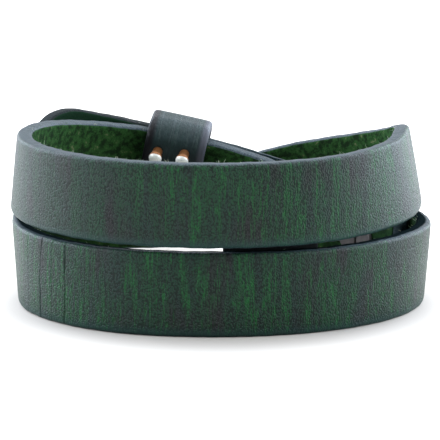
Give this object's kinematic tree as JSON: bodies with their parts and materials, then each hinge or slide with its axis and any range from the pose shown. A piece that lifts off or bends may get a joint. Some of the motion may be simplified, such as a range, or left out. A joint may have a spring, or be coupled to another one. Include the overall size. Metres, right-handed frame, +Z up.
{
  "type": "leather wrap bracelet",
  "caption": "Long flat leather strap wound twice round an open wrist hollow, with its overlapping ends held by a leather keeper at the back.",
  "frame": {"origin": "middle of the bracelet's box, on the plane that it rests on", "axes": "+Z up along the wrist hollow's axis, -Y towards the front, +X to the right as seen from the front"},
  "size_m": [0.0647, 0.0753, 0.0258],
  "materials": {
    "strap_leather": "hand-dyed deep green, with burnished slate edges and a suede inner face",
    "keeper_leather": "hand-dyed deep green, with burnished slate edges",
    "rivet_metal": "polished, with a worn pale plating",
    "stud_metal": "satin pinkish nickel",
    "tab_leather": "smooth dark slate green"
  },
  "bodies": {
    "root": {"strap": "strap_leather", "keeper": "keeper_leather", "keeper_rivet_1": "rivet_metal", "keeper_rivet_2": "rivet_metal", "stud_1": "stud_metal", "stud_2": "stud_metal", "joining_tab": "tab_leather"}
  },
  "joints": []
}
